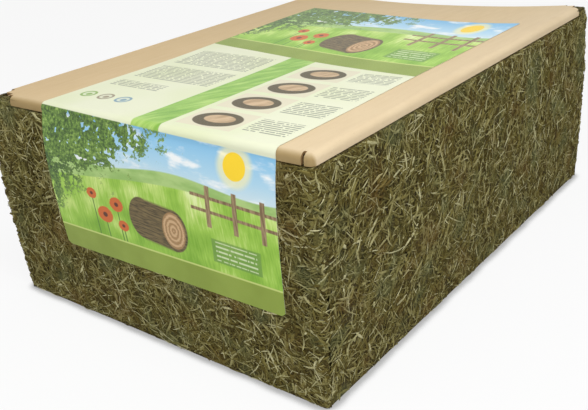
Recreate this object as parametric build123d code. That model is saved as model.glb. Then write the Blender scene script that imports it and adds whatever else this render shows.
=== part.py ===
from build123d import *
import os
from math import asin, degrees, sqrt

# Small animal digging box: a folded carton tray lined and covered with mats of
# pressed hay, a folded board lid, and one printed sheet that seals the lid to
# the front wall. The front faces -Y and the origin is the middle of the base.

# Overall sizes
box_width = 290.0
box_length = 420.0
closed_height = 162.0

# Wall layers, from outside to inside
outer_mat = 4.0
core_board = 2.5
inner_mat = 3.0
floor_mat = 3.0
edge_round = 3.0
fold_round = 2.0
core_slit = 0.6

# Lid blank
lid_board = 1.6
roll_radius = 6.0
rim_straight = 1.0
lid_set_in = 0.3
back_dip = 6.0
corner_notch = 15.0
front_left_notch = 19.5
corner_slit = 2.0

# Hay lobes that stand in the lid's notches
lobe_clearance = 1.0
lobe_below_top = 1.5
lobe_round = 5.0

# Gaps between the lid and what it closes on
seat_gap = 0.3
shoulder_gap = 0.5

# Printed sheet
sheet_thickness = 0.25
sheet_left_margin = 57.0
sheet_right_margin = 25.0
sheet_back = 125.0
sheet_low = 57.0
sheet_taper = 10.0
sheet_corner = 3.0
peel_gap = 0.3
crease_gap = 0.6

# Filling
forage_depth = 24.0
fill_level = 88.0
fill_dome = 4.0
pit_radius = 62.0
pit_depth = 9.0
pit_place = (18.0, -34.0)

half_width = box_width / 2
half_length = box_length / 2
core_half_width = half_width - outer_mat
core_half_length = half_length - outer_mat
tray_half_width = core_half_width - core_board
tray_half_length = core_half_length - core_board
room_half_width = tray_half_width - inner_mat
room_half_length = tray_half_length - inner_mat
room_floor = core_board + floor_mat

# The lid's panel is straight across at the front and sags across at the back,
# and the edges under its back end follow it: arcs about one distant axis.
flat_half_width = half_width - lid_set_in - roll_radius
flat_half_length = half_length - lid_set_in - roll_radius
sag_radius = flat_half_width**2 / (2 * back_dip) + back_dip / 2
sag_centre = closed_height - back_dip + sag_radius
sag_axis = Axis((0, 0, sag_centre), (0, 1, 0))

# The tray's walls stand above the mats, inside the lid's rolled edge. Their
# corners come nearest to it, under the lid's closed front right corner.
core_corner = sqrt(2) * (core_half_width - flat_half_width)
roll_bore = roll_radius - lid_board
core_drop = roll_radius - sqrt(roll_bore**2 - core_corner**2) + shoulder_gap
rim_drop = roll_radius + rim_straight
mat_drop = rim_drop + seat_gap
lobe_height = closed_height - lobe_below_top
lobe_reach = corner_notch - lobe_clearance


def back_height(drop, place):
    """Height, at this place across the box, of an arc that runs drop below the lid's back edge."""
    return sag_centre - sqrt((sag_radius + drop) ** 2 - place**2)


def turned(piece):
    """The same piece at the other end or side of the box."""
    return Rot(0, 0, 180) * piece


def front_wall(outline, outside, thickness):
    """A wall across the box, from its outline in X and Z, with its outer face towards -Y."""
    return Pos(0, thickness - outside, 0) * extrude(outline, thickness)


def back_wall(outline, outside, thickness):
    """A wall across the box, from its outline in X and Z, with its outer face towards +Y."""
    return Pos(0, outside, 0) * extrude(outline, thickness)


def right_wall(outline, outside, thickness):
    """A wall along the box, from its outline in Y and Z, with its outer face towards +X."""
    return Rot(0, 0, 90) * front_wall(outline, outside, thickness)


def straight_wall(half_span, low, high):
    """Outline of a wall with a level top."""
    with BuildSketch(Plane.XZ) as outline:
        with Locations((0, (low + high) / 2)):
            Rectangle(2 * half_span, high - low)
    return outline.sketch


def sagging_wall(half_span, low, drop):
    """Outline of a wall at the back, whose top follows the lid's sag."""
    ends = back_height(drop, half_span)
    with BuildSketch(Plane.XZ) as outline:
        with BuildLine():
            Polyline((-half_span, ends), (-half_span, low), (half_span, low), (half_span, ends))
            ThreePointArc((half_span, ends), (0, back_height(drop, 0)), (-half_span, ends))
        make_face()
    return outline.sketch


def lobe(end, reach):
    """Outline of the lobe at one end of a mat, rounded on the side away from the corner."""
    inner = end - reach if end > 0 else end + reach
    low = closed_height / 2
    with BuildSketch(Plane.XZ) as outline:
        with BuildLine():
            Polyline((end, low), (end, lobe_height), (inner, lobe_height), (inner, low), close=True)
        make_face()
        free_corner = outline.vertices().sort_by_distance((inner, 0, lobe_height))[0]
        fillet(free_corner, lobe_round)
    return outline.sketch


# Folded carton tray

def carton_tray():
    """One blank: base, long walls and end walls, slit at the corners and round at the folds."""
    tray = Pos(0, 0, core_board / 2) * Box(2 * core_half_width, 2 * core_half_length, core_board)
    long_outline = straight_wall(core_half_length, 0, closed_height - core_drop)
    long_wall = right_wall(long_outline, core_half_width, core_board)
    end_span = tray_half_width - core_slit
    front_outline = straight_wall(end_span, 0, closed_height - core_drop)
    front = front_wall(front_outline, core_half_length, core_board)
    back = back_wall(sagging_wall(end_span, 0, core_drop), core_half_length, core_board)
    tray += [long_wall, turned(long_wall), front, back]
    base_edges = tray.edges().filter_by(Plane.XY).group_by(Axis.Z)[0]
    return fillet(base_edges, fold_round)


# Hay mats

def outer_mats():
    """Four mats glued on the tray, with lobes at the three corners that the lid leaves free."""
    envelope = extrude(RectangleRounded(box_width, box_length, edge_round), closed_height)
    mat_top = closed_height - mat_drop
    side_reach = lobe_reach - outer_mat
    front_outline = straight_wall(half_width, 0, mat_top)
    front_outline += lobe(-half_width, front_left_notch - lobe_clearance)
    back_outline = sagging_wall(half_width, 0, mat_drop)
    back_outline += [lobe(-half_width, lobe_reach), lobe(half_width, lobe_reach)]
    right_outline = straight_wall(core_half_length, 0, mat_top) + lobe(core_half_length, side_reach)
    left_outline = right_outline + lobe(-core_half_length, side_reach)
    return {
        "hay_mat_front_outer": front_wall(front_outline, half_length, outer_mat) & envelope,
        "hay_mat_back_outer": back_wall(back_outline, half_length, outer_mat) & envelope,
        "hay_mat_right_outer": right_wall(right_outline, half_width, outer_mat) & envelope,
        "hay_mat_left_outer": turned(right_wall(left_outline, half_width, outer_mat)) & envelope,
    }


def inner_mats():
    """Four mats that line the tray, level with the outer mats, and one on its base."""
    mat_top = closed_height - mat_drop
    front_outline = straight_wall(room_half_width, core_board, mat_top)
    back_outline = sagging_wall(room_half_width, core_board, mat_drop)
    side_outline = straight_wall(tray_half_length, core_board, mat_top)
    side_mat = right_wall(side_outline, tray_half_width, inner_mat)
    floor = Box(2 * room_half_width, 2 * room_half_length, floor_mat)
    return {
        "hay_mat_front_inner": front_wall(front_outline, tray_half_length, inner_mat),
        "hay_mat_back_inner": back_wall(back_outline, tray_half_length, inner_mat),
        "hay_mat_right_inner": side_mat,
        "hay_mat_left_inner": turned(side_mat),
        "hay_mat_floor": Pos(0, 0, core_board + floor_mat / 2) * floor,
    }


# Filling

def filling():
    """A layer of forage, and the digging litter over it with a shallow pit."""
    width = 2 * room_half_width
    length = 2 * room_half_length
    forage_top = room_floor + forage_depth
    forage = Pos(0, 0, room_floor + forage_depth / 2) * Box(width, length, forage_depth)
    litter_depth = fill_level - forage_top
    litter = Pos(0, 0, forage_top + litter_depth / 2) * Box(width, length, litter_depth)
    dome_radius = (room_half_width**2 + room_half_length**2) / (2 * fill_dome)
    litter &= Pos(0, 0, fill_level - dome_radius) * Sphere(dome_radius)
    scoop_radius = (pit_radius**2 + pit_depth**2) / (2 * pit_depth)
    litter -= Pos(*pit_place, fill_level - pit_depth + scoop_radius) * Sphere(scoop_radius)
    return {"forage_layer": forage, "digging_litter": litter}


# Lid

def bend_section(plane, inner, outer):
    """Section of a turned-down edge about the bend's centre, turning out along the plane's X."""
    slant = sqrt(0.5)
    with BuildSketch(plane) as section:
        with BuildLine():
            ThreePointArc((0, outer), (outer * slant, outer * slant), (outer, 0))
            Polyline((outer, 0), (outer, -rim_straight), (inner, -rim_straight), (inner, 0))
            ThreePointArc((inner, 0), (inner * slant, inner * slant), (0, inner))
            Line((0, inner), (0, outer))
        make_face()
    return section.sketch


def panel_layer(low_drop, high_drop):
    """A layer of the panel, between two drops below the lid's top: level in front, sagging behind."""
    low, high = closed_height - low_drop, closed_height - high_drop
    span = flat_half_width
    front = straight_wall(span, low, high)
    with BuildSketch(Plane.XZ) as back:
        with BuildLine():
            Line((-span, high), (-span, low))
            ThreePointArc((-span, low), (0, low - back_dip), (span, low))
            Line((span, low), (span, high))
            ThreePointArc((span, high), (0, high - back_dip), (-span, high))
        make_face()
    at_front = Pos(0, -flat_half_length, 0) * front
    at_back = Pos(0, flat_half_length, 0) * back.sketch
    return loft([at_front, at_back], ruled=True)


def front_bend(left, right, inner, outer):
    """The turned-down front edge between two places across the box."""
    origin = (right, -flat_half_length, closed_height - roll_radius)
    plane = Plane(origin, x_dir=(0, -1, 0), z_dir=(-1, 0, 0))
    return extrude(bend_section(plane, inner, outer), right - left)


def back_bend(reach):
    """The turned-down back edge, from one side to the other, along the sag."""
    origin = (0, flat_half_length, closed_height - back_dip - roll_radius)
    plane = Plane(origin, x_dir=(0, 1, 0), z_dir=(1, 0, 0))
    section = bend_section(plane, roll_bore, roll_radius)
    turn = degrees(asin(reach / sag_radius))
    return revolve(section.rotate(sag_axis, turn), sag_axis, -2 * turn)


def lid():
    """One blank: a panel with four turned-down edges, cut at the corners."""
    board = panel_layer(lid_board, 0)
    side_plane = Plane((0, 0, 0), x_dir=(1, 0, 0), z_dir=(0, -1, 0))
    side_section = bend_section(side_plane, roll_bore, roll_radius)
    side_section = Pos(flat_half_width, 0, closed_height - roll_radius) * side_section
    side_roll = extrude(side_section, flat_half_length, both=True)

    # The front right corner is closed: the side edge turns round it, as far as a slit.
    corner_axis = Axis((flat_half_width, -flat_half_length, 0), (0, 0, 1))
    corner = revolve(Pos(0, -flat_half_length, 0) * side_section, corner_axis, -90)

    # The end edges stop at the notches, and the front one at the slit.
    notch_inner = half_width - corner_notch
    front_left = front_left_notch - half_width
    front_right = flat_half_width - corner_slit
    front_roll = front_bend(front_left, front_right, roll_bore, roll_radius)
    board += [side_roll, turned(side_roll), corner, front_roll, back_bend(notch_inner)]

    # The side edges stop short of the three notched corners.
    notch = Box(2 * roll_radius, 2 * corner_notch, 2 * closed_height)
    edge_x = flat_half_width + roll_radius
    for x, y in ((-edge_x, -half_length), (-edge_x, half_length), (edge_x, half_length)):
        board -= Pos(x, y, 0) * notch
    return board


# Printed sheet

def printed_sheet():
    """The sheet's two leaves: one glued over the lid's front edge, one that hangs below it."""
    left, right = sheet_left_margin - half_width, half_width - sheet_right_margin
    width = right - left
    middle = (left + right) / 2
    flat_length = flat_half_length + sheet_back
    cut = Box(width, flat_length, 2 * roll_radius)
    top = panel_layer(0, -sheet_thickness)
    top &= Pos(middle, sheet_back - flat_length / 2, closed_height) * cut
    top += front_bend(left, right, roll_radius, roll_radius + sheet_thickness)
    high = closed_height - rim_drop - crease_gap
    low_left = left + sheet_taper
    with BuildSketch(Plane.XZ) as leaf:
        with BuildLine():
            Polyline((left, high), (right, high), (right, sheet_low), (low_left, sheet_low), close=True)
        make_face()
        fillet(leaf.vertices().group_by(Axis.Z)[0], sheet_corner)
    drop = front_wall(leaf.sketch, half_length + peel_gap + sheet_thickness, sheet_thickness)
    return {"label_top": top, "label_drop": drop}


pieces = {"carton_tray": carton_tray()}
pieces |= outer_mats()
pieces |= inner_mats()
pieces |= filling()
pieces["lid_board"] = lid()
pieces |= printed_sheet()

os.makedirs("parts", exist_ok=True)
for name, piece in pieces.items():
    export_step(piece, f"parts/{name}.step")
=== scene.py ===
from math import pi, radians

import bpy
import numpy as np
from mathutils import Matrix, Vector


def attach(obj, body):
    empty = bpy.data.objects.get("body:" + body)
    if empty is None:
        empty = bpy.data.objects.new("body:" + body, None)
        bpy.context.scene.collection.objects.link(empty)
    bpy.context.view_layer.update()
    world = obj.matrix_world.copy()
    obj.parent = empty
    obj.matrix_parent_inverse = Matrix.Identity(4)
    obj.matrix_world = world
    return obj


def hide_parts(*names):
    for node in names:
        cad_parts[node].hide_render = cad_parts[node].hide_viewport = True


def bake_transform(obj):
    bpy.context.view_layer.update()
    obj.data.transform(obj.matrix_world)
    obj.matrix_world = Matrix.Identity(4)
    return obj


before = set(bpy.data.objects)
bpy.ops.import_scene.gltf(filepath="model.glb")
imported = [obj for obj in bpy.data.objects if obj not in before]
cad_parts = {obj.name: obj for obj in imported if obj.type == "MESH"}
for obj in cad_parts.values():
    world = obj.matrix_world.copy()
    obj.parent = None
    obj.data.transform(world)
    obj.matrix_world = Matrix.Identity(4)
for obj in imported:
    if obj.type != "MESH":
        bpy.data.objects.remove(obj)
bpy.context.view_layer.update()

# Sizes in millimetres. make_object turns them into metres.
MM = 0.001
HALF_WIDTH = 145.0
HALF_LENGTH = 210.0
TOP = 162.0
OUTER_MAT = 4.0
CORE_BOARD = 2.5
INNER_MAT = 3.0
EDGE_ROUND = 3.0
BACK_DIP = 6.0
MAT_DROP = 7.3
LOBE_TOP = 160.5
LOBE_ROUND = 5.0
FLAT_HALF_WIDTH = 140.7
FLAT_HALF_LENGTH = 205.7
ROLL = 4.0
RIM = 3.0
LID_BOARD = 1.6
SAG_HALF_WIDTH = 138.7
SAG_RADIUS = SAG_HALF_WIDTH**2 / (2 * BACK_DIP) + BACK_DIP / 2
SAG_CENTRE = TOP - BACK_DIP + SAG_RADIUS

# How far the hay leans out at each upright corner, by the corner's signs, and how far its body lies in
BOW = {(-1, -1): 11.5, (1, -1): 6.0, (1, 1): 5.5, (-1, 1): 4.0}
HAY_INSET = 0.8

# How far the lid's panel swells at the back left, and where that starts, is full, fades and ends
SWELL = 4.6
SWELL_X = (-140, -88, -58, 112)
SWELL_Y = (-120, 110, 130, 200)


def smooth(t):
    """Rises smoothly from 0 to 1 as t does."""
    t = np.clip(t, 0, 1)
    return t * t * (3 - 2 * t)


def between(t, start, full, fading, end):
    """Rises smoothly from 0 to 1 between the first two places, and falls again between the last two."""
    return smooth((t - start) / (full - start)) * smooth((end - t) / (end - fading))


def spread(half, step):
    """Places from -half to half, about that step apart."""
    return np.linspace(-half, half, int(2 * half / step) + 1)


def wavy(x, y, size, seed):
    """A smooth uneven surface between about -1 and 1, with bumps of about that size."""
    rng = np.random.default_rng(seed)
    total = 0
    for _ in range(6):
        turn = rng.uniform(0, 2 * pi)
        step = 2 * pi / size * rng.uniform(0.6, 1.5)
        total = total + np.sin(step * (x * np.cos(turn) + y * np.sin(turn)) + rng.uniform(0, 2 * pi))
    return total / 3


def sag(x, y):
    """How far the lid's panel lies below its straight edges."""
    back = TOP - SAG_CENTRE + np.sqrt(SAG_RADIUS**2 - np.minimum(np.abs(x), SAG_HALF_WIDTH) ** 2)
    return back * np.clip((y + FLAT_HALF_LENGTH) / (2 * FLAT_HALF_LENGTH), 0, 1)


def unevenness(x, y, angle):
    """How the lid's panel and the sheet on it lie above the plain shape: ripples and the swell."""
    swell = SWELL * between(y, *SWELL_Y) * between(x, *SWELL_X)
    return (swell + 0.18 * wavy(x, y, 150, 70)) * np.maximum(1 - angle, 0)


def bowed(points):
    """The outer mats bow out between their bottom and top edges, most of all above the middle."""
    x, y, z = np.array(points, float).T
    level = np.clip(z / (TOP - MAT_DROP), 0, 1)
    rise = 0
    for (right, back), most in BOW.items():
        rise = rise + most * (1 + right * x / HALF_WIDTH) / 2 * (1 + back * y / HALF_LENGTH) / 2
    rise = np.maximum(rise, 0) * level**1.2 * (1 - level**5)
    out_x = smooth((np.abs(x) - HALF_WIDTH + OUTER_MAT) / OUTER_MAT)
    out_y = smooth((np.abs(y) - HALF_LENGTH + OUTER_MAT) / OUTER_MAT)
    x = x + np.sign(x) * rise * out_x
    y = y + np.sign(y) * rise * out_y
    return np.stack([x, y, z], 1)


# Meshes

def put_in(name, data):
    """An object in the scene with that mesh, lamp or camera."""
    thing = bpy.data.objects.new(name, data)
    bpy.context.scene.collection.objects.link(thing)
    return thing


def make_object(name, points, faces, materials, face_material=None, sharp=40):
    """A mesh object from points in millimetres."""
    mesh = bpy.data.meshes.new(name)
    mesh.from_pydata((np.asarray(points, float) * MM).tolist(), [], [list(map(int, f)) for f in faces])
    for material in materials:
        mesh.materials.append(material)
    if face_material is not None:
        mesh.polygons.foreach_set("material_index", np.asarray(face_material, np.int32))
    mesh.polygons.foreach_set("use_smooth", np.ones(len(mesh.polygons), bool))
    mesh.set_sharp_from_angle(angle=radians(sharp))
    mesh.validate()
    mesh.update()
    return put_in(name, mesh)


def store(piece, name, values):
    """Stores a number or a vector for each point of the mesh, for its material to read."""
    values = np.asarray(values, np.float32)
    kind, field = ("FLOAT", "value") if values.ndim == 1 else ("FLOAT_VECTOR", "vector")
    piece.data.attributes.new(name, kind, "POINT").data.foreach_set(field, values.ravel())


# Materials

def srgb(r, g, b):
    """A colour given in display values from 0 to 255, as the shader takes it."""
    parts = (r / 255, g / 255, b / 255)
    return tuple(p / 12.92 if p <= 0.04045 else ((p + 0.055) / 1.055) ** 2.4 for p in parts)


def feed(place, value):
    """Links a shade or a socket to an input, or sets a constant there, a colour in display values."""
    if isinstance(value, Shade):
        value = value.socket
    if isinstance(value, bpy.types.NodeSocket):
        place.id_data.links.new(value, place)
    elif place.type == "RGBA":
        place.default_value = (*srgb(*value), 1.0)
    else:
        place.default_value = value


def add_node(tree, kind, inputs=(), **settings):
    """Adds a shader node with its settings, and feeds its inputs, each given by its name or number."""
    node = tree.nodes.new("ShaderNode" + kind)
    for name, value in settings.items():
        setattr(node, name, value)
    for place, value in dict(inputs).items():
        feed(node.inputs[place], value)
    return node


class Shade:
    """A number that varies over a surface. Arithmetic on it adds math nodes to the material."""

    def __init__(self, socket):
        self.socket = socket
        self.tree = socket.id_data

    def calc(self, kind, *others):
        node = add_node(self.tree, "Math", enumerate((self, *others)), operation=kind)
        return Shade(node.outputs[0])

    def __add__(self, other):
        return self.calc("ADD", other)

    def __sub__(self, other):
        return self.calc("SUBTRACT", other)

    def __rsub__(self, other):
        return (self * -1) + other

    def __mul__(self, other):
        return self.calc("MULTIPLY", other)

    def __truediv__(self, other):
        return self.calc("DIVIDE", other)

    def high(self, other):
        return self.calc("MAXIMUM", other)

    def size(self):
        return self.calc("ABSOLUTE")

    def wrap(self, step):
        return self.calc("FLOORED_MODULO", step)

    def fade(self, low, high, to_low=0.0, to_high=1.0):
        values = (self, low, high, to_low, to_high)
        node = add_node(self.tree, "MapRange", enumerate(values), interpolation_type="SMOOTHSTEP")
        return Shade(node.outputs[0])


class Paint:
    """A colour built up in layers, each laid over the last ones by its share."""

    def __init__(self, colour):
        self.colour = colour

    def over(self, share, colour):
        self.colour = mixed(share, self.colour, colour)


def new_material(name, rough, gloss):
    """A node material, its tree and its shader."""
    material = bpy.data.materials.new(name)
    material.use_nodes = True
    shader = material.node_tree.nodes["Principled BSDF"]
    feed(shader.inputs["Roughness"], rough)
    feed(shader.inputs["Specular IOR Level"], gloss)
    return material, material.node_tree, shader


def numbers(tree, name):
    """A number stored on the mesh."""
    return Shade(add_node(tree, "Attribute", attribute_name=name).outputs["Fac"])


def vectors(tree, name):
    """A vector stored on the mesh."""
    return add_node(tree, "Attribute", attribute_name=name).outputs["Vector"]


def place_in(tree):
    """The place on the surface, in metres."""
    return add_node(tree, "TexCoord").outputs["Object"]


def parts_of(vector):
    """A vector's three numbers."""
    return [Shade(out) for out in add_node(vector.id_data, "SeparateXYZ", {0: vector}).outputs]


def vector_of(x, y):
    """A flat vector from two numbers."""
    return add_node(x.tree, "CombineXYZ", {"X": x, "Y": y}).outputs[0]


def stretched(vector, scale, turn=(0.0, 0.0, 0.0)):
    """The place scaled, for a grain that is longer one way."""
    inputs = {"Vector": vector, "Rotation": turn, "Scale": scale}
    return add_node(vector.id_data, "Mapping", inputs).outputs[0]


def along_grain(vector, turn, across, along):
    """The place measured in grains that long and that wide, which lie turned on the surface."""
    inputs = {"Vector": vector, "Rotation": (0.0, 0.0, turn), "Scale": (across, along, 1.0)}
    return add_node(vector.id_data, "Mapping", inputs, vector_type="TEXTURE").outputs[0]


def noise(vector, scale, detail=3.0, rough=0.5):
    """Clouds with about that many to the unit."""
    inputs = {"Vector": vector, "Scale": scale, "Detail": detail, "Roughness": rough}
    return Shade(add_node(vector.id_data, "TexNoise", inputs).outputs["Fac"])


def mixed(share, first, second):
    """The first colour where share is 0, and the second where it is 1."""
    inputs = {"Factor": share, 6: first, 7: second}
    return add_node(share.tree, "Mix", inputs, data_type="RGBA").outputs[2]


def ramp(share, *stops):
    """Colours along a range, each given by its place from 0 to 1 and its display values."""
    node = add_node(share.tree, "ValToRGB", {"Fac": share})
    points = node.color_ramp.elements
    while len(points) < len(stops):
        points.new(0.5)
    for point, (at, *colour) in zip(points, stops):
        point.position = at
        point.color = (*srgb(*colour), 1.0)
    return node.outputs["Color"]


def finish(shader, colour, height, distance, strength, rough=None):
    """Gives a shader its colour, its relief of that distance in metres, and a roughness that varies."""
    feed(shader.inputs["Base Color"], colour)
    if rough is not None:
        feed(shader.inputs["Roughness"], rough)
    inputs = {"Strength": strength, "Distance": distance, "Height": height}
    feed(shader.inputs["Normal"], add_node(shader.id_data, "Bump", inputs).outputs[0])


# Directions, widths and lengths in millimetres of the fibres that show between the hay's stalks
HAY_FIBRES = ((0.35, 1.2, 9.0), (1.05, 1.0, 7.0), (1.75, 1.4, 10.0), (2.4, 1.0, 6.0), (3.0, 1.2, 8.0))


def hay_material():
    """Pressed meadow hay: a ground of crossing fibres, and stalks that each have their own tone."""
    material, tree, shader = new_material("pressed_hay", 0.85, 0.2)
    place = vectors(tree, "flat")
    depth = parts_of(place)[2]
    for turn, across, along in HAY_FIBRES:
        grain = along_grain(place, turn, across, along)
        line = noise(grain, 1.0, 2.0, 0.5).fade(0.5, 0.68)
        pale = noise(grain, 0.45, 0.0).fade(0.3, 0.7, 0.35, 1.0)
        depth = depth.high(line * pale)
    patch = noise(place, 0.028, 3.0)
    # The ground is darkest between the fibres: the hay's own tone, with painted shade in the gaps
    base = ramp(depth, (0.0, 44, 36, 14), (0.35, 80, 70, 34), (0.7, 118, 108, 62), (1.0, 146, 138, 90))
    streak = noise(along_grain(place, 0.8, 0.5, 5.0), 1.0, 2.0)
    stalks = ramp(
        numbers(tree, "tone") + (streak - 0.5) * 0.35,
        (0.0, 60, 50, 16), (0.25, 92, 81, 34), (0.5, 127, 118, 64),
        (0.75, 160, 153, 102), (1.0, 202, 197, 152),
    )
    paint = Paint(base)
    paint.over(numbers(tree, "stalk"), stalks)
    paint.over(patch.fade(0.52, 0.7, 0.0, 0.4), (118, 90, 44))
    paint.over(patch.fade(0.48, 0.32, 0.0, 0.4), (112, 122, 82))
    rough = streak.fade(0.2, 0.8, 0.75, 0.95)
    finish(shader, paint.colour, depth + streak * 0.4, 0.0009, 0.8, rough)
    return material


def kraft_material():
    """Smooth brown kraft board with short paper fibres, faint rubbed places, and painted light and
    shade.
    """
    material, tree, shader = new_material("kraft_board", 0.62, 0.35)
    place = place_in(tree)
    streaks = noise(stretched(place, (1.0, 0.12, 1.0)), 260, 4, 0.6)
    flecks = noise(stretched(place, (1.0, 0.45, 1.0), (0, 0, 0.6)), 1500, 3, 0.6)
    clouds = noise(place, 14, 4, 0.55)
    share = clouds * 0.6 + streaks * 0.4
    paint = Paint(ramp(share, (0.3, 206, 180, 138), (0.5, 214, 190, 149), (0.7, 221, 198, 160)))
    # Painted light and shade: browner towards the left as painted shade, and paler towards the right as
    # painted light, where the top is lit most
    x = parts_of(place)[0]
    paint.over(x.fade(-0.15, 0.0, 0.35, 0.0), (192, 160, 106))
    paint.over(x.fade(0.07, 0.15, 0.0, 0.35), (226, 208, 178))
    paint.over(flecks.fade(0.62, 0.74, 0.0, 0.22), (150, 118, 76))
    paint.over(flecks.fade(0.38, 0.27, 0.0, 0.25), (236, 220, 188))
    paint.over(numbers(tree, "fold") * clouds.fade(0.35, 0.7, 0.15, 0.6), (228, 208, 172))
    # Painted shade: the front fold is painted browner, because its turned-down face gets less light
    paint.over(numbers(tree, "front_fold_painted_shade"), (156, 131, 82))
    rough = clouds.fade(0.2, 0.8, 0.55, 0.7)
    finish(shader, paint.colour, flecks * 0.5 + streaks * 0.5, 0.00025, 0.6, rough)
    return material


def cut_edge_material():
    """The cut edge of the board: brown liners and the paler layer between them."""
    material, tree, shader = new_material("board_cut_edge", 0.85, 0.2)
    place = place_in(tree)
    fibres = noise(place, 1200, 4, 0.7)
    clouds = noise(place, 90, 3)
    share = fibres * 0.6 + clouds * 0.4
    colour = ramp(share, (0.3, 120, 92, 58), (0.55, 158, 126, 84), (0.75, 190, 160, 118))
    finish(shader, colour, fibres, 0.0006, 0.8)
    return material


# In metres: the pitch of the tray's flutes, and the heights where its cut rim starts and is full
FLUTE_PITCH = 0.0065
CUT_RIM = (0.1475, 0.149)


def tray_material():
    """Corrugated board: brown liners, with the flutes open along the upper cut edges."""
    material, tree, shader = new_material("tray_board", 0.75, 0.25)
    place = place_in(tree)
    x, y, z = parts_of(place)
    fibres = noise(stretched(place, (1.0, 1.0, 0.2)), 900, 4, 0.6)
    clouds = noise(place, 18, 4)
    liner = ramp(fibres * 0.5 + clouds * 0.5, (0.3, 176, 144, 98), (0.7, 202, 172, 126))
    facing = parts_of(add_node(tree, "NewGeometry").outputs["Normal"])[2]
    flute = ((x + y) * (2 * pi / FLUTE_PITCH)).calc("SINE")
    open_flute = flute.fade(-0.2, 0.5)
    rim = facing.fade(0.6, 0.9) * z.fade(*CUT_RIM)
    # The open flutes are painted dark: painted shade inside their holes
    cut = mixed(open_flute, (212, 188, 150), (112, 84, 50))
    finish(shader, mixed(rim, liner, cut), fibres + open_flute * rim * 2, 0.0006, 0.7)
    return material


def litter_material():
    """Loose tan digging litter, a mix of fine grains and small pale chips."""
    material, tree, shader = new_material("loose_litter", 0.9, 0.2)
    place = place_in(tree)
    cells = add_node(tree, "TexVoronoi", {"Vector": place, "Scale": 700})
    speck = parts_of(cells.outputs["Color"])[0]
    clouds = noise(place, 22, 4)
    share = speck * 0.6 + clouds * 0.4
    ground = ramp(share, (0.15, 150, 110, 68), (0.5, 188, 146, 98), (0.85, 214, 178, 130))
    tone = numbers(tree, "tone")
    chips = ramp(tone, (0.0, 140, 100, 60), (0.5, 196, 158, 108), (1.0, 226, 196, 150))
    colour = mixed(numbers(tree, "stalk"), ground, chips)
    finish(shader, colour, 1 - Shade(cells.outputs["Distance"]), 0.0012, 0.8)
    return material


def forage_material():
    """Dried leaves and stems of several greens and browns."""
    material, tree, shader = new_material("dried_forage", 0.85, 0.2)
    place = place_in(tree)
    veins = noise(place, 500, 4, 0.6)
    ground = ramp(veins, (0.3, 74, 66, 34), (0.7, 128, 112, 66))
    leaves = ramp(
        numbers(tree, "tone") + (veins - 0.5) * 0.3,
        (0.0, 92, 84, 44), (0.35, 126, 124, 66), (0.65, 164, 142, 84), (1.0, 196, 176, 120),
    )
    finish(shader, mixed(numbers(tree, "stalk"), ground, leaves), veins, 0.001, 0.7)
    return material


# Pressed hay mats

TURNS = {"front": 0, "right": 1, "back": 2, "left": 3}
CROSSWISE = ("front", "back")

# Which ends of each wall stand up as lobes, by the sign of the place along it, and the lobes' reach
LOBE_ENDS = {"front": (-1,), "right": (1,), "back": (-1, 1), "left": (-1, 1)}
LOBE_REACH = {"front": 18.5, "right": 14.0, "back": 14.0, "left": 14.0}

# Where each wall's middle lies on the way round the box, so that the relief runs on round its corners
WAY_ROUND = {"front": 0.0, "right": HALF_WIDTH + HALF_LENGTH, "back": 2 * (HALF_WIDTH + HALF_LENGTH)}
WAY_ROUND["left"] = -WAY_ROUND["right"]

# The part of the front wall that the printed sheet presses flat, and how far out stalks may reach there
PRESSED_ENDS = (-91, 123)
PRESSED_FROM = 53
HIGHEST_UNDER_SHEET = -0.2
HIGHEST_IN_FRONT = 2.6

# How far, how high up and over what height the mats puff out under the lid's rim
PUFF, PUFF_HEIGHT, PUFF_SPREAD = 1.3, 151.0, 5.0

STALKS_PER_PIECE = 14500
STEPS = 4


def wall_size(side):
    """Half the length of a wall, and how far its face lies from the middle of the box."""
    return (HALF_WIDTH, HALF_LENGTH) if side in CROSSWISE else (HALF_LENGTH, HALF_WIDTH)


def plain_top(side, a):
    """Height of a mat's top at a place along its wall, which sags at the back as the lid does."""
    if side == "back":
        drop = SAG_RADIUS + MAT_DROP
        return SAG_CENTRE - np.sqrt(drop**2 - np.minimum(np.abs(a), HALF_WIDTH) ** 2)
    return np.full_like(a, TOP - MAT_DROP)


def top_of_mat(side, a):
    """Height of the outer mat's top at a place along its wall, with the lobes at its ends."""
    a = np.asarray(a, float)
    level = plain_top(side, a)
    for end in LOBE_ENDS[side]:
        reach = wall_size(side)[0] - LOBE_REACH[side] - end * a
        into = np.clip(-reach, 0, LOBE_ROUND)
        lobe = LOBE_TOP - LOBE_ROUND + np.sqrt(np.maximum(LOBE_ROUND**2 - (LOBE_ROUND - into) ** 2, 0))
        level = np.where(reach < 0, np.maximum(level, lobe), level)
    return level


def turned(points, side):
    """Points of the front wall turned to another side of the box."""
    x, y, z = points.T
    for _ in range(TURNS[side]):
        x, y = -y, x
    return np.stack([x, y, z], 1)


def on_wall(side, a, z, out):
    """Points of a wall and its corners, from the place along it, the height and the distance out."""
    half, reach = wall_size(side)
    past = np.abs(a) - (half - EDGE_ROUND)
    angle = np.clip(past / EDGE_ROUND, 0, pi / 2)
    beyond = np.maximum(past - EDGE_ROUND * pi / 2, 0)
    straight = np.minimum(np.abs(a), half - EDGE_ROUND)
    x = np.sign(a) * (straight + (EDGE_ROUND + out) * np.sin(angle))
    y = reach - EDGE_ROUND + (EDGE_ROUND + out) * np.cos(angle) - beyond
    return turned(np.stack([x, -y, z], 1), side)


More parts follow.
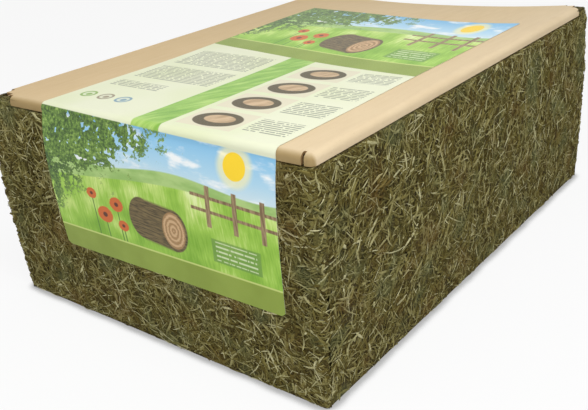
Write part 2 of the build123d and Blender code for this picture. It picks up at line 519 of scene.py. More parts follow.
def relief(side, a, z):
    """Unevenness of a mat's outer face."""
    s = a + WAY_ROUND[side]
    puff = PUFF * np.exp(-(((z - PUFF_HEIGHT) / PUFF_SPREAD) ** 2))
    uneven = 0.45 * wavy(s, z, 34, 10) + 0.25 * wavy(s, z, 9, 60) + puff
    if side == "front":
        uneven = np.where(under_sheet(a, z), np.minimum(uneven, 0.3), uneven)
    return uneven


def under_sheet(a, z):
    """Where the front mat lies below the printed sheet, which presses it flat."""
    return (a > PRESSED_ENDS[0]) & (a < PRESSED_ENDS[1]) & (z > PRESSED_FROM)


def strips_round(columns, count):
    """Faces between neighbouring closed sections, each of that many points, and over both ends."""
    faces = []
    for i in range(columns - 1):
        for j in range(count):
            k = (j + 1) % count
            faces.append((i * count + j, (i + 1) * count + j, (i + 1) * count + k, i * count + k))
    faces.append(tuple(range(count)))
    faces.append(tuple(reversed(range((columns - 1) * count, columns * count))))
    return faces


# Columns of points where a lobe begins, close together where it rises steeply
LOBE_EDGE = np.array([-0.02, 0.02, 0.3, 0.8, 1.6, 2.6, 3.8, 5.0])


def outer_mat_body(side):
    """The mat itself: an uneven slab with soft edges, as points and faces."""
    half, reach = wall_size(side)
    end = half - OUTER_MAT
    places = [sign * (half - LOBE_REACH[side] + LOBE_EDGE) for sign in LOBE_ENDS[side]]
    if side in CROSSWISE:
        corner = half - EDGE_ROUND + np.linspace(0, EDGE_ROUND * pi / 2, 5)
        places += [corner, -corner]
        end = corner[-1] + 0.8
    a = np.unique(np.concatenate([spread(end, 4), *places]).round(4))
    a = a[np.abs(a) <= end]
    top = top_of_mat(side, a)
    rough = 0.5 * (1 + wavy(a, a * 0, 5, 30 + TURNS[side])) / 2
    rows = 34
    points = []
    for ai, ti in zip(a, top - rough):
        z = np.linspace(0.6, ti - 1.0, rows)
        face = -HAY_INSET + relief(side, np.full(rows, ai), z)
        outs = np.concatenate([[-1.2, -0.8], face, [face[-1] - 0.3, face[-1] - 1.5]])
        zs = np.concatenate([[0.0, 0.25], z, [ti - 0.3, ti]])
        outer = on_wall(side, np.full(len(zs), ai), zs, outs)
        inner = [(np.clip(ai, -half, half), OUTER_MAT - reach, z) for z in (ti, ti * 0.5, 0.0)]
        points.append(np.concatenate([outer, turned(np.array(inner), side)]))
    return bowed(np.concatenate(points)), strips_round(len(a), len(points[0]))


def ribbons(a, z, angle, bend, length, width, lift, tilt, tone, place_on):
    """Stalks lying on a surface, each a narrow ridge, from the place and direction of their middles."""
    along = np.linspace(-0.5, 0.5, STEPS)
    height = lift[:, None] + tilt[:, None] * 2 * along
    heading = angle[:, None] + bend[:, None] * along
    moves_a = np.cos(heading) * length[:, None] / (STEPS - 1)
    moves_z = np.sin(heading) * length[:, None] / (STEPS - 1)
    path_a = a[:, None] + np.cumsum(moves_a, 1) - moves_a.sum(1, keepdims=True) / 2
    path_z = z[:, None] + np.cumsum(moves_z, 1) - moves_z.sum(1, keepdims=True) / 2
    taper = 0.3 + 0.7 * np.sqrt(np.maximum(1 - (2 * np.abs(along)) ** 3, 0))
    half = width[:, None] / 2 * taper
    side_a, side_z = -np.sin(heading) * half, np.cos(heading) * half
    rows = []
    for shift, up in ((-1, 0.0), (0, 0.42), (1, 0.0)):
        out = height + up * width[:, None] * taper
        rows.append(place_on(path_a + shift * side_a, path_z + shift * side_z, out))
    points = np.stack(rows, 2).reshape(-1, 3)
    first = (np.arange(len(a)) * STEPS * 3)[:, None, None]
    i = (np.arange(STEPS - 1) * 3)[None, :, None]
    j = np.arange(2)[None, None, :]
    quads = np.stack([first + i + j, first + i + j + 1, first + i + 4 + j, first + i + 3 + j], -1)
    return points, quads.reshape(-1, 4), np.repeat(tone, STEPS * 3), 1


def stalk_kinds(rng, count):
    """Widths, lengths and tones of stalks: fine pale ones among broader broken ones."""
    fine = rng.random(count) < 0.5
    width = np.where(fine, rng.uniform(0.5, 0.9, count), rng.gamma(8.0, 0.155, count).clip(0.7, 2.1))
    length = rng.gamma(3.4, 2.7, count).clip(3.5, 28) * np.where(fine, 1.25, 0.95)
    tone = np.where(fine, rng.beta(2.4, 1.6, count), rng.beta(1.5, 2.0, count))
    return width, length, tone


def wall_stalks(side, count, seed):
    """Stalks pressed into one outer wall."""
    rng = np.random.default_rng(seed)
    half = wall_size(side)[0]
    a = rng.uniform(-half - 3, half + 3, count)
    z = rng.uniform(0, LOBE_TOP, count)
    angle = rng.uniform(0, pi, count)
    bend = rng.normal(0, 0.38, count)
    width, length, tone = stalk_kinds(rng, count)
    tilt = rng.normal(0, 0.5, count)
    lift = rng.uniform(-0.1, 1.1, count)
    # Stalks that lie deeper are painted darker: painted shade between the stalks
    tone = tone * (0.55 + 0.5 * lift)
    reach = np.abs(np.sin(angle)) * length / 2 + 1.0
    over = np.minimum(top_of_mat(side, a - 2), top_of_mat(side, a + 2)) - 0.5
    z = np.where(z > over, rng.uniform(0, 1, count) * over, z)
    # Near the top and bottom edges a stalk lies flatter, so that it stays on the mat.
    room = np.minimum(z - 0.5, over - z)
    keep = room > reach * 0.2
    flatter = np.clip(room / reach, 0.05, 1)
    angle = np.arctan2(np.sin(angle) * flatter, np.cos(angle))
    fields = [v[keep] for v in (a, z, angle, bend, length, width, lift - 0.25, tilt / 2, tone)]
    over = over[keep]

    def place_on(pa, pz, out):
        pz = np.clip(pz, 0.4, over[:, None])
        wall = -HAY_INSET + relief(side, pa, pz) + out
        if side == "front":
            highest = np.where(under_sheet(pa, pz), HIGHEST_UNDER_SHEET, HIGHEST_IN_FRONT)
            wall = np.minimum(wall, highest)
        flat = on_wall(side, pa.ravel(), pz.ravel(), wall.ravel())
        return bowed(flat).reshape(*pa.shape, 3)

    return ribbons(*fields, place_on)


def joined(*groups):
    """Several sets of (points, faces, tone, stalk) as one."""
    points, faces, tones, stalks = [], [], [], []
    total = 0
    for group_points, group_faces, group_tones, is_stalk in groups:
        points.append(group_points)
        if isinstance(group_faces, np.ndarray):
            faces += (group_faces + total).tolist()
        else:
            faces += [[v + total for v in f] for f in group_faces]
        tones.append(np.broadcast_to(group_tones, len(group_points)))
        stalks.append(np.full(len(group_points), float(is_stalk)))
        total += len(group_points)
    return np.concatenate(points), faces, np.concatenate(tones), np.concatenate(stalks)


def loose_piece(name, node, material, slot_name, plane, groups):
    """A piece of the box made of a body and the bits on it, lying in the plane of two axes."""
    points, faces, tones, stalks = joined(*groups)
    piece = make_object(name, points, faces, [material], sharp=84)
    store(piece, "tone", tones)
    store(piece, "stalk", stalks)
    store(piece, "flat", np.pad(points[:, plane], ((0, 0), (0, 1))))
    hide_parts(node)
    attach(piece, "box")


hay = hay_material()


def hay_piece(side, which, groups):
    """The outer or the inner mat of one wall."""
    name, node = f"pressed_hay_{side}_{which}", f"hay_mat_{side}_{which}"
    plane = (0, 2) if side in CROSSWISE else (1, 2)
    loose_piece(name, node, hay, "pressed_hay", plane, groups)


for side, turn in TURNS.items():
    stalks = wall_stalks(side, STALKS_PER_PIECE, 100 + turn)
    hay_piece(side, "outer", [(*outer_mat_body(side), 0.3, 0), stalks])


# Inner mats: flat slabs with stalks on the side that faces the room

ROOM_X = HALF_WIDTH - OUTER_MAT - CORE_BOARD - INNER_MAT
ROOM_Y = HALF_LENGTH - OUTER_MAT - CORE_BOARD - INNER_MAT
LOWEST_INNER_STALK = 60
STALKS_PER_LENGTH = 15.2


def inner_mat(side, count, seed):
    """One inner mat with its stalks, facing the room."""
    rng = np.random.default_rng(seed)
    half, reach = (ROOM_X, ROOM_Y) if side in CROSSWISE else (ROOM_Y + INNER_MAT, ROOM_X)

    def uneven(pa, pz):
        return 0.25 * wavy(pa, pz, 20, seed) + 0.15 * wavy(pa, pz, 7, seed + 1)

    a = spread(half, 5)
    top = plain_top(side, a) - 0.4 * (1 + wavy(a, a * 0, 6, seed)) / 2
    rows = 28
    points = []
    for ai, ti in zip(a, top):
        z = np.linspace(CORE_BOARD + 0.6, ti - 1.0, rows)
        face = 0.55 + uneven(np.full(rows, ai), z)
        out = np.concatenate([[INNER_MAT, 1.0], face, [0.9, 1.6, INNER_MAT]])
        zs = np.concatenate([[CORE_BOARD, CORE_BOARD], z, [ti - 0.2, ti, ti]])
        points.append(turned(np.stack([np.full(len(zs), ai), -(reach + out), zs], 1), side))
    faces = [f[::-1] for f in strips_round(len(a), len(points[0]))]
    sa = rng.uniform(-half + 1, half - 1, count)
    sz = rng.uniform(LOWEST_INNER_STALK, TOP - MAT_DROP - 1, count)
    angle = rng.uniform(0, pi, count)
    width, length, tone = stalk_kinds(rng, count)
    room = np.minimum(plain_top(side, sa) - 1 - sz, half - np.abs(sa))
    length = np.minimum(length, np.maximum(2.2 * room, 4))
    keep = room > 1.5
    sa, sz, angle, width, length, tone = (v[keep] for v in (sa, sz, angle, width, length, tone))
    n = len(sa)
    bend = rng.normal(0, 0.38, n)
    lift, tilt = rng.uniform(0.0, 0.3, n), rng.normal(0, 0.1, n)

    def place_on(pa, pz, out):
        pa = np.clip(pa, -half + 0.3, half - 0.3)
        pz = np.minimum(pz, plain_top(side, pa) - 0.6)
        depth = reach + np.maximum(0.55 + uneven(pa, pz) - out, 0.02)
        flat = np.stack([pa.ravel(), -depth.ravel(), pz.ravel()], 1)
        return turned(flat, side).reshape(*pa.shape, 3)

    stalks = ribbons(sa, sz, angle, bend, length, width, lift, tilt, tone, place_on)
    return [(np.concatenate(points), faces, 0.3, 0), stalks]


for side, turn in TURNS.items():
    half = ROOM_X if side in CROSSWISE else ROOM_Y
    hay_piece(side, "inner", inner_mat(side, int(2 * half * STALKS_PER_LENGTH), 200 + turn))


def slab_faces(nx, ny, mirrored=False):
    """Faces of a closed slab between two grids of points, the upper one first, and of its rim."""
    index = np.arange(nx * ny).reshape(nx, ny)
    quads = np.stack([index[:-1, :-1], index[1:, :-1], index[1:, 1:], index[:-1, 1:]], -1)
    quads = quads.reshape(-1, 4)
    rim = np.concatenate([index[:, 0], index[-1, 1:], index[-2::-1, -1], index[0, -2:0:-1]])
    after = np.roll(rim, -1)
    sides = np.stack([rim + index.size, after + index.size, after, rim], 1)
    if mirrored:
        quads, sides = quads[:, [0, 3, 2, 1]], sides[:, ::-1]
    return np.concatenate([quads, quads[:, ::-1] + index.size, sides])


def scattered(name, node, material, slot_name, count, size, seed, surface, low):
    """A loose layer: an uneven closed block with that many small flat bits lying on it."""
    rng = np.random.default_rng(seed)
    xs, ys = spread(ROOM_X, LAYER_STEP), spread(ROOM_Y, LAYER_STEP)
    gx, gy = np.meshgrid(xs, ys, indexing="ij")
    top = np.stack([gx, gy, surface(gx, gy)], -1).reshape(-1, 3)
    bottom = top.copy()
    bottom[:, 2] = low
    bx = rng.uniform(-ROOM_X + 6, ROOM_X - 6, count)
    by = rng.uniform(-ROOM_Y + 6, ROOM_Y - 6, count)
    angle = rng.uniform(0, 2 * pi, count)
    length = rng.gamma(4.0, size / 4, count).clip(size * 0.4, size * 2.2)
    width = length * rng.uniform(0.12, 0.4, count)
    lift, tilt = rng.uniform(-0.2, 0.5, count), rng.normal(0, 0.4, count)
    tone = rng.beta(2.2, 2.2, count)
    bend = rng.normal(0, 0.5, count)

    def place_on(px, py, out):
        px = np.clip(px, -ROOM_X + 0.5, ROOM_X - 0.5)
        py = np.clip(py, -ROOM_Y + 0.5, ROOM_Y - 0.5)
        return np.stack([px, py, surface(px, py) + out * 0.8], -1)

    layer = (np.concatenate([top, bottom]), slab_faces(len(xs), len(ys)), 0.4, 0)
    bits = ribbons(bx, by, angle, bend, length, width, lift, tilt, tone, place_on)
    loose_piece(name, node, material, slot_name, (0, 1), [layer, bits])


LAYER_STEP = 3.0
FLOOR_TOP = 5.5
FORAGE_TOP = 29.5
FILL = 88.0
FILL_DOME = 4.0
PIT = (18.0, -34.0)
PIT_RADIUS = 62.0
PIT_DEPTH = 9.0


def floor_surface(x, y):
    """The hay lining's top."""
    return FLOOR_TOP - 0.7 + 0.3 * wavy(x, y, 16, 60)


def forage_surface(x, y):
    """The forage's top."""
    return FORAGE_TOP - 1.6 + 0.8 * wavy(x, y, 22, 61)


def litter_surface(x, y):
    """The litter's dome with the dug pit and small heaps."""
    dome = FILL - 1.4 - FILL_DOME * (x**2 + y**2) / (ROOM_X**2 + ROOM_Y**2)
    far = np.hypot(x - PIT[0], y - PIT[1]) / PIT_RADIUS
    pit = PIT_DEPTH * np.clip(1 - far**2, 0, 1)
    return dome - pit + 0.7 * wavy(x, y, 30, 62) + 0.35 * wavy(x, y, 9, 63)


forage, litter = forage_material(), litter_material()
lining = ("hay_lining_floor", "hay_mat_floor", hay, "pressed_hay")
scattered(*lining, 1200, 14, 301, floor_surface, CORE_BOARD)
loose_plants = ("dried_forage_layer", "forage_layer", forage, "dried_forage")
scattered(*loose_plants, 1500, 16, 302, forage_surface, FLOOR_TOP)
loose_litter = ("loose_digging_litter", "digging_litter", litter, "loose_litter")
scattered(*loose_litter, 9000, 6, 303, litter_surface, FORAGE_TOP)

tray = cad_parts["carton_tray"]
tray.data.materials.clear()
tray.data.materials.append(tray_material())


# Lid

def lid_point(u, v, depth):
    """A point of the lid's board from places along it, that many millimetres under its outer face."""
    past_u = np.maximum(np.abs(u) - FLAT_HALF_WIDTH, 0)
    past_v = np.maximum(np.abs(v) - FLAT_HALF_LENGTH, 0)
    # Round the closed corner the board turns as one dome: the farther of the two places counts.
    past = np.maximum(past_u, past_v)
    share = np.minimum(past_u, past_v) / np.maximum(past, 0.001)
    way = np.where(past_u >= past_v, pi / 4 * share, pi / 2 - pi / 4 * share)
    angle = np.clip(past / ROLL, 0, pi / 2)
    radius = ROLL - depth
    out = radius * np.sin(angle)
    flat_x = np.clip(u, -FLAT_HALF_WIDTH, FLAT_HALF_WIDTH)
    flat_y = np.clip(v, -FLAT_HALF_LENGTH, FLAT_HALF_LENGTH)
    x = flat_x + np.sign(u) * out * np.cos(way)
    y = flat_y + np.sign(v) * out * np.sin(way)
    down = ROLL - radius * np.cos(angle) + np.maximum(past - ROLL * pi / 2, 0)
    z = TOP - sag(flat_x, flat_y) - down + unevenness(x, y, angle)
    return np.stack([x, y, z], -1)


FULL_U = FLAT_HALF_WIDTH + ROLL * pi / 2 + RIM
FULL_V = FLAT_HALF_LENGTH + ROLL * pi / 2 + RIM
LID_STEP = 9.0

# Where the board is cut: the notches, the slit beside the closed corner, the panel's open corners
NOTCH_X = 130.0
FRONT_NOTCH_X = 125.5
NOTCH_Y = 195.0
SLIT = (136.7, 138.7)
PANEL_CORNER_X = 138.0
PANEL_CORNER_Y = 203.0


def lines(full, flat_half, *marks):
    """Places of the grid's lines along one direction of the board."""
    roll = flat_half + np.linspace(0, ROLL * pi / 2, 9)
    found = np.concatenate([spread(flat_half, LID_STEP), roll, -roll, [full, -full], marks])
    return np.unique(found.round(4))


def lid_piece():
    """The folded board, with a grid of cells left out at the notches and the slit."""
    cut_x, cut_y = (-PANEL_CORNER_X, PANEL_CORNER_X), (-PANEL_CORNER_Y, PANEL_CORNER_Y)
    us = lines(FULL_U, FLAT_HALF_WIDTH, -NOTCH_X, NOTCH_X, -FRONT_NOTCH_X, *SLIT, *cut_x)
    vs = lines(FULL_V, FLAT_HALF_LENGTH, -NOTCH_Y, NOTCH_Y, *cut_y)
    gu, gv = np.meshgrid(us, vs, indexing="ij")
    mid_u, mid_v = (us[1:] + us[:-1])[:, None] / 2, (vs[1:] + vs[:-1])[None, :] / 2
    side = np.abs(mid_u) > FLAT_HALF_WIDTH
    front, back = mid_v < -FLAT_HALF_LENGTH, mid_v > FLAT_HALF_LENGTH
    closed = (mid_u > 0) & (mid_v < 0)
    kept = ~side & ~front & ~back
    kept |= side & (closed | (np.abs(mid_v) < NOTCH_Y))
    kept |= back & (np.abs(mid_u) < NOTCH_X)
    kept |= front & (mid_u > -FRONT_NOTCH_X) & ((mid_u < SLIT[0]) | (mid_u > SLIT[1]))
    beyond = (np.abs(mid_u) > PANEL_CORNER_X) & (np.abs(mid_v) > NOTCH_Y)
    beyond |= (np.abs(mid_v) > PANEL_CORNER_Y) & (np.abs(mid_u) > NOTCH_X)
    kept &= ~beyond | closed
    outer = lid_point(gu, gv, 0.0).reshape(-1, 3)
    inner = lid_point(gu, gv, LID_BOARD).reshape(-1, 3)
    index = np.arange(len(us) * len(vs)).reshape(len(us), len(vs))
    offset = index.size
    faces, kinds = [], []
    padded = np.pad(kept, 1)
    for i, j in zip(*np.nonzero(kept)):
        a, b, c, d = index[i, j], index[i + 1, j], index[i + 1, j + 1], index[i, j + 1]
        faces += [(a, b, c, d), (a + offset, d + offset, c + offset, b + offset)]
        kinds += [0, 0]
        for di, dj, p, q in ((0, -1, a, b), (1, 0, b, c), (0, 1, c, d), (-1, 0, d, a)):
            if not padded[i + 1 + di, j + 1 + dj]:
                faces.append((p + offset, q + offset, q, p))
                kinds.append(1)
    fold = np.zeros(gu.shape)
    for g, half in ((gu, FLAT_HALF_WIDTH), (gv, FLAT_HALF_LENGTH)):
        past = np.abs(g) - half
        fold = np.maximum(fold, smooth(1 - np.abs(past - ROLL * pi / 4) / (ROLL * pi / 3)))
    used = np.unique(np.concatenate([np.array(f) for f in faces]))
    renumber = np.full(2 * offset, -1)
    renumber[used] = np.arange(len(used))
    faces = [tuple(renumber[list(f)]) for f in faces]
    points = np.concatenate([outer, inner])[used]
    piece = make_object("kraft_lid", points, faces, [kraft_material(), cut_edge_material()], kinds)
    # How much painted shade the front fold gets, growing from where it starts to turn down
    front_fold_painted_shade = smooth((-gv - FLAT_HALF_LENGTH + 1) / 6) * 0.9
    store(piece, "fold", np.tile(fold.ravel(), 2)[used])
    store(piece, "front_fold_painted_shade", np.tile(front_fold_painted_shade.ravel(), 2)[used])
    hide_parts("lid_board")
    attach(piece, "lid")


lid_piece()

# Printed sheet

SHEET_LEFT, SHEET_RIGHT, SHEET_BACK, SHEET_LOW = -88.0, 120.0, 125.0, 57.0
SHEET_THICK = 0.25
SHEET_CORNER = 3.0
SHEET_TAPER = 10.0
LENGTH_TO_FOLD = SHEET_BACK + FLAT_HALF_LENGTH
SHEET_GAP = 0.2
ROLL_OVER = ROLL + SHEET_GAP
SHEET_LENGTH = LENGTH_TO_FOLD + ROLL_OVER * pi / 2 + TOP - ROLL - SHEET_LOW
SHEET_WIDTH = SHEET_RIGHT - SHEET_LEFT


def sheet_point(u, v, lift):
    """A point of the sheet, lift above its lower face: u from its left edge, v from its back edge."""
    x = SHEET_LEFT + u
    past = np.maximum(v - LENGTH_TO_FOLD, 0)
    angle = np.clip(past / ROLL_OVER, 0, pi / 2)
    beyond = np.maximum(past - ROLL_OVER * pi / 2, 0)
    y = SHEET_BACK - np.minimum(v, LENGTH_TO_FOLD)
    radius = ROLL_OVER + lift
    drop = ROLL_OVER - radius * np.cos(angle)
    z = TOP - sag(x, y) - drop + SHEET_GAP - beyond + unevenness(x, y, angle)
    y = y - radius * np.sin(angle)
    points = np.stack([x, y, z], -1)
    hung = bowed(points.reshape(-1, 3)).reshape(points.shape)
    return np.where((beyond > 0)[..., None], hung, points)


# The print, in millimetres on the flat sheet: u from its left edge, v from its back edge
PICTURE_HEIGHT = 103.0
TOP_PICTURE = 150.0
TOP_SLANT = 0.14
PANEL_END = 334.0
PANEL_SLANT = 0.026

# On the pale panels. A box is its left, right, high and low sides, an oval its middle and two radii.
TEXT_BLOCKS = ((9, 84, 172, 210), (9, 84, 219, 254), (9, 58, 265, 279))
TEXT_PITCH = 3.1
BADGES = ((16.0, (132, 168, 76)), (34.0, (150, 140, 112)), (52.0, (122, 156, 170)))
BADGE_V = 304
STRIPE = (92, 117, 0, 400)
ROW = 38.0
FIRST_ROW = 176.0
ROWS = (118, 208, FIRST_ROW + 2, FIRST_ROW + 4 * ROW)
ROW_BOX = (122, 166, 3, 35)
ROW_DISC = (144, 19.5, 18, 13)
ROW_DISC_INSIDE = (144.5, 18.2, 11.5, 7.2)
ROW_TEXT = (170, 202, 6, 30)

# In the picture, from its left and its upper edge
BAND = 88.0
RAILS = (-10, 66, 36, 54)
POSTS = (-10, 66, 33, 60)
SUN = (30, 15, 8.5, 8.5)
SUN_RING = (30, 15, 13, 13)
BALE = (84, 112, 61, 91)
BALE_ENDS = ((112, 64.5, 12, 15), (84, 67.5, 12, 15))
BALE_FACE = (84, 67.5, 10, 13)
FLOWERS = ((136, 60, 6.5), (149, 70, 7.5), (132, 75, 5.0), (160, 56, 5.0))
NOTE = (14, 52, 66, 82)
NOTE_LINES = (17, 49, 67.5, 80.5)


def inside_box(u, v, left, right, high, low, soft=0.35):
    """1 inside a box on the sheet and 0 outside."""
    across = (u - (left + right) / 2).size() - (right - left) / 2
    along = (v - (high + low) / 2).size() - (low - high) / 2
    return across.high(along).fade(soft, -soft)


def reach_in_oval(u, v, middle_u, middle_v, radius_u, radius_v):
    """0 in the middle of an oval and 1 at its edge."""
    du, dv = (u - middle_u) / radius_u, (v - middle_v) / radius_v
    return (du * du + dv * dv).calc("SQRT")


def inside_oval(u, v, middle_u, middle_v, radius_u, radius_v, soft=0.35):
    """1 inside an oval on the sheet and 0 outside."""
    edge = soft / min(radius_u, radius_v)
    return reach_in_oval(u, v, middle_u, middle_v, radius_u, radius_v).fade(1 + edge, 1 - edge)


def ruled(u, v, pitch, share=0.42):
    """Lines of short strokes, like small print seen from afar."""
    line = (v / pitch).calc("FLOOR")
    across = ((v / pitch).wrap(1.0) - 0.5).size().fade(share / 2 + 0.08, share / 2 - 0.08)
    gaps = noise(vector_of(u * 0.45, line * 7.3), 1.0, 1.0).fade(0.36, 0.42)
    return across * gaps


def meadow_picture(p, q):
    """A generic picture: sky, meadow, a fence, a bale, flowers and leaves, over an olive band."""
    place = vector_of(p, q)
    puffs = noise(along_grain(place, 0.0, 34.0, 12.0), 1.0, 4.0, 0.55)
    blades = noise(along_grain(place, 0.12, 1.6, 14.0), 1.0, 3.0, 0.6)
    straw = noise(along_grain(place, 1.5, 1.0, 9.0), 1.0, 3.0)
    glow = noise(place, 0.035, 2.0)

    # Sky and meadow
    sky = ramp(q / 45.0, (0.0, 116, 184, 226), (0.5, 176, 216, 238), (1.0, 236, 244, 240))
    paint = Paint(sky)
    paint.over(puffs.fade(0.5, 0.66), (246, 250, 250))
    far_line = (p * 0.045 + 1.0).calc("SINE") * 3.0 + 31.0
    far_field = mixed(puffs.fade(0.4, 0.6), (176, 206, 128), (150, 188, 104))
    paint.over((q - far_line).fade(-0.6, 0.6), far_field)
    grass = ramp(
        (blades - 0.5) * 0.5 + glow - (q - 40.0) / 240.0,
        (0.2, 124, 174, 44), (0.42, 158, 202, 74), (0.58, 200, 226, 124), (0.72, 230, 242, 176),
    )
    near_line = (p * 0.022).calc("SINE") * -5.0 + 42.0
    paint.over((q - near_line).fade(-0.5, 0.5), grass)

    # A fence of two rails and its posts, and a low sun with a pale ring
    slope = q + p * 0.05
    rails = (slope.wrap(9.0) - 4.5).size().fade(1.3, 0.9) * inside_box(p, slope, *RAILS)
    posts = (p.wrap(21.0) - 10.0).size().fade(2.0, 1.6) * inside_box(p, slope, *POSTS)
    wood = mixed(blades.fade(0.35, 0.65), (120, 96, 66), (166, 142, 106))
    paint.over(rails.high(posts), wood)
    paint.over(inside_oval(p, q, *SUN_RING, 2.5) * 0.6, (255, 244, 170))
    paint.over(inside_oval(p, q, *SUN), (252, 214, 44))

    # A round bale lying on its side
    body = inside_box(p, q + p * 0.1, *BALE, 1.2)
    for end in BALE_ENDS:
        body = body.high(inside_oval(p, q, *end))
    paint.over(body, mixed(straw.fade(0.35, 0.65), (74, 62, 34), (124, 106, 66)))
    rings = (reach_in_oval(p, q, *BALE_FACE) * 22.0 + straw * 5.0).calc("SINE").fade(-0.7, 0.7)
    paint.over(inside_oval(p, q, *BALE_FACE), mixed(rings, (164, 128, 84), (206, 172, 130)))

    # Orange flowers on thin stems
    for middle_p, middle_q, radius in FLOWERS:
        stem = inside_box(p + (q - middle_q) * 0.08, q, middle_p - 0.5, middle_p + 0.5, middle_q, BAND)
        petals = straw * 0.5 + inside_oval(p, q, middle_p, middle_q, radius, radius * 0.8, 1.6)
        heart = inside_oval(p, q, middle_p, middle_q, radius * 0.3, radius * 0.25)
        paint.over(stem, (84, 128, 44))
        paint.over(petals.fade(0.72, 0.8), (206, 104, 42))
        paint.over(heart, (92, 46, 26))

    # Leafy twigs that hang in at one side, with sky between them
    clumps = noise(place, 0.06, 3.0, 0.6)
    leaf = noise(place, 0.42, 3.0, 0.7)
    gap = noise(place, 0.15, 2.0, 0.6)
    cover = (p - 92.0) / 110.0 + clumps * 1.4 - (q - 16.0).high(0.0) / 52.0 - 0.62
    right_side = (p - 186.0) / 30.0 + clumps * 1.2 - (q - 50.0).high(0.0) / 60.0 - 0.5
    cover = cover.high(right_side) + (leaf - 0.5) * 1.0 - (gap - 0.52).high(0.0) * 5.0
    leaves = ramp(
        leaf * 0.6 + clumps * 0.25 + gap * 0.15,
        (0.36, 38, 58, 26), (0.46, 70, 100, 42), (0.55, 112, 146, 62), (0.66, 172, 198, 112),
    )
    paint.over(cover.fade(0.1, 0.2), leaves)

    # A ruled note and the olive band with its pale upper line
    level = q + p * 0.03
    paint.over(inside_box(p, level, *NOTE) * 0.75, (104, 146, 62))
    strokes = ruled(p, level - 66.0, 3.2, 0.38) * inside_box(p, level, *NOTE_LINES)
    paint.over(strokes * 0.8, (222, 236, 190))
    paint.over((q - (BAND - 1.2)).fade(-0.2, 0.2), (196, 212, 120))
    band = mixed(glow.fade(0.3, 0.7), (132, 152, 52), (142, 162, 62))
    paint.over((q - BAND).fade(-0.2, 0.2), band)
    return paint.colour


def cream_panels(u, v):
    """Pale panels with ruled blocks, a green stripe between them, and a column of four discs."""
    place = vector_of(u, v)
    glow = noise(place, 0.012, 2.0)
    grain = noise(along_grain(place, 0.5, 5.0, 26.0), 1.0, 3.0, 0.55)
    words = ruled(u, v, TEXT_PITCH)
    ink = (112, 116, 100)
    paint = Paint(mixed(glow.fade(0.35, 0.65), (228, 231, 202), (221, 227, 188)))
    first, second, third = (inside_box(u, v, *block) for block in TEXT_BLOCKS)
    paint.over(words * first.high(second).high(third) * 0.85, ink)
    for middle_u, shade in BADGES:
        paint.over(inside_oval(u, v, middle_u, BADGE_V, 6.5, 6.5), shade)
        paint.over(inside_oval(u, v, middle_u, BADGE_V, 4.6, 4.6) * 0.7, (236, 240, 212))
        paint.over(inside_oval(u, v, middle_u + 0.8, BADGE_V + 0.6, 2.4, 2.4), shade)
    stripe = ramp(grain, (0.3, 112, 164, 56), (0.5, 142, 188, 78), (0.7, 180, 212, 116))
    paint.over(inside_box(u, v, *STRIPE), stripe)

    # Rows, each a disc and a ruled block
    row = (v - FIRST_ROW).wrap(ROW)
    within = inside_box(u, v, *ROWS)
    paint.over(inside_box(u, row, *ROW_BOX) * within, (222, 216, 188))
    paint.over(inside_oval(u, row, *ROW_DISC) * within, (78, 68, 36))
    inside = mixed(grain.fade(0.4, 0.6), (176, 146, 108), (204, 176, 138))
    paint.over(inside_oval(u, row, *ROW_DISC_INSIDE) * within, inside)
    paint.over(words * inside_box(u, row, *ROW_TEXT) * within * 0.85, ink)
    return paint.colour


def print_material():
    """A generic print on smooth paper: a meadow picture at each end, and pale panels between them."""
    material, tree, shader = new_material("printed_paper", 0.42, 0.35)
    place = vectors(tree, "sheet")
    u, v, _ = parts_of(place)
    back_end = u * TOP_SLANT + TOP_PICTURE
    at_back = (v - back_end).fade(0.01, -0.01)
    q = (v - PANEL_END) + at_back * (v * PICTURE_HEIGHT / back_end - (v - PANEL_END))
    in_picture = at_back.high((v - PANEL_END - u * PANEL_SLANT).fade(-0.3, 0.3))
    fine = noise(place, 0.9, 4.0, 0.6)
    paint = Paint(cream_panels(u, v))
    paint.over(in_picture, meadow_picture(SHEET_WIDTH - u, q))
    underside = numbers(tree, "underside").fade(0.3, 0.5)
    paint.over(underside, mixed(fine.fade(0.35, 0.65), (222, 220, 210), (234, 232, 224)))
    finish(shader, paint.colour, fine, 0.0001, 0.4, fine.fade(0.3, 0.7, 0.36, 0.5))
    return material


def sheet_piece():
    """The whole sheet, flat on the lid, over its front fold and down the front wall."""
    us = np.linspace(0, SHEET_WIDTH, 70)
    flat = np.linspace(0, LENGTH_TO_FOLD, 100)
    roll = LENGTH_TO_FOLD + np.linspace(0, ROLL_OVER * pi / 2, 9)
    start = roll[-1]
    crease = start + np.linspace(0, 3.0, 13)
    drop = np.linspace(start + 3.0, SHEET_LENGTH, 48)
    vs = np.unique(np.concatenate([flat, roll, crease, drop]).round(4))
    gu, gv = np.meshgrid(us, vs, indexing="ij")
    # The two lower corners are rounded by drawing the last rows in.
    low = SHEET_LENGTH - SHEET_CORNER
    into = np.maximum(gv - low, 0)
    draw = SHEET_CORNER - np.sqrt(np.maximum(SHEET_CORNER**2 - into**2, 0))
    middle = SHEET_WIDTH / 2
    gu = middle + (gu - middle) * (middle - draw) / middle
    taper = SHEET_TAPER * np.clip((gv - start) / (SHEET_LENGTH - start), 0, 1)
    gu = taper + gu * (SHEET_WIDTH - taper) / SHEET_WIDTH
    upper = sheet_point(gu, gv, SHEET_THICK).reshape(-1, 3)
    lower = sheet_point(gu, gv, 0.0).reshape(-1, 3)
    faces = slab_faces(*gu.shape, mirrored=True)
    piece = make_object("printed_sheet", np.concatenate([upper, lower]), faces, [print_material()])
    flat_place = np.stack([gu.ravel(), gv.ravel(), np.zeros(gu.size)], 1)
    store(piece, "sheet", np.tile(flat_place, (2, 1)))
    store(piece, "underside", np.repeat([0.0, 1.0], gu.size))
    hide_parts("label_top", "label_drop")
    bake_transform(piece)


sheet_piece()


# Floor, light and camera

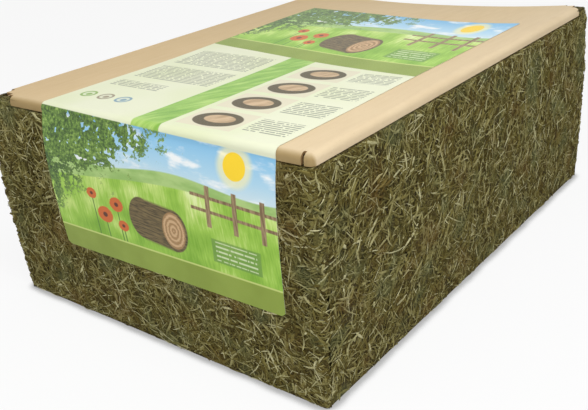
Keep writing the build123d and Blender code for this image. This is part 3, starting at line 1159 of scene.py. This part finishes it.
FLOOR_HALF = 9000.0
FLOOR_GREY = 0.85
FLOOR_GLOW = 0.87
CONTACT_SHADOW = 0.009
WORLD_LIGHT = 0.5


def in_sight(tree):
    """1 where a surface is seen, also in a gloss or through a clear piece, and 0 for its light."""
    ray = add_node(tree, "LightPath").outputs
    seen = Shade(ray["Is Camera Ray"]) + Shade(ray["Is Glossy Ray"])
    return (seen + Shade(ray["Is Transmission Ray"])).calc("MINIMUM", 1.0)


def floor_piece():
    """A pale floor that looks nearly white, with the box's shadow on it."""
    material, tree, shader = new_material("pale_floor", 0.9, 0.1)
    shader.inputs["Base Color"].default_value = (FLOOR_GREY, FLOOR_GREY, FLOOR_GREY, 1)
    # The narrow shadow where the box meets the floor
    open_sky = Shade(add_node(tree, "AmbientOcclusion", {"Distance": CONTACT_SHADOW}).outputs["AO"])
    glow = add_node(tree, "Emission", {"Strength": open_sky.fade(0.5, 0.95, 0.45, 1.0)})
    share = in_sight(tree) * FLOOR_GLOW
    both = add_node(tree, "MixShader", {0: share, 1: shader.outputs[0], 2: glow.outputs[0]})
    feed(tree.nodes["Material Output"].inputs["Surface"], both.outputs[0])
    corners = [(x * FLOOR_HALF, y * FLOOR_HALF, 0) for x, y in ((-1, -1), (1, -1), (1, 1), (-1, 1))]
    make_object("studio_floor", corners, [(0, 1, 2, 3)], [material])


floor_piece()

world = bpy.data.worlds.new("studio")
bpy.context.scene.world = world
world.use_nodes = True
tree = world.node_tree
background = tree.nodes["Background"]
background.inputs["Color"].default_value = (1, 1, 1, 1)
feed(background.inputs["Strength"], in_sight(tree) * (1 - WORLD_LIGHT) + WORLD_LIGHT)


def lamp(name, place, aim, size, watts):
    """A soft square lamp."""
    light = bpy.data.lights.new(name, "AREA")
    light.shape = "SQUARE"
    light.size = size
    light.energy = watts
    holder = put_in(name, light)
    holder.location = place
    holder.rotation_euler = (Vector(aim) - Vector(place)).to_track_quat("-Z", "Y").to_euler()


lamp("key_light", (0.5, -0.4, 0.95), (0.15, -0.1, 0.1), 0.6, 6.8)
lamp("fill_light", (-0.4, -1.5, 0.9), (-0.1, 0, 0.08), 1.2, 3.0)

# The camera that the photograph was fitted with: its place and directions, its focal length in pixels,
# and the point of the picture that it faces
PICTURE_WIDE, PICTURE_HIGH = 588, 410
CAMERA_PLACE = (0.38581, -0.53717, 0.31510)
FOCAL_LENGTH = 822.88
FACED_X, FACED_Y = 246.40, 151.12
right = Vector((0.769511, 0.632944, -0.085059))
down = Vector((0.156012, -0.315462, -0.936026))
ahead = Vector((-0.619285, 0.707012, -0.341498))
camera = bpy.data.cameras.new("photo_camera")
camera.sensor_width = 36.0
camera.lens = FOCAL_LENGTH / PICTURE_WIDE * camera.sensor_width
camera.shift_x = 0.5 - FACED_X / PICTURE_WIDE
camera.shift_y = (FACED_Y - PICTURE_HIGH / 2) / PICTURE_WIDE
camera.clip_end = 50.0
holder = put_in("photo_camera", camera)
turn = Matrix((right, -down, -ahead)).transposed().to_4x4()
holder.matrix_world = Matrix.Translation(CAMERA_PLACE) @ turn
bpy.context.scene.camera = holder
bpy.context.scene.view_settings.view_transform = "Standard"
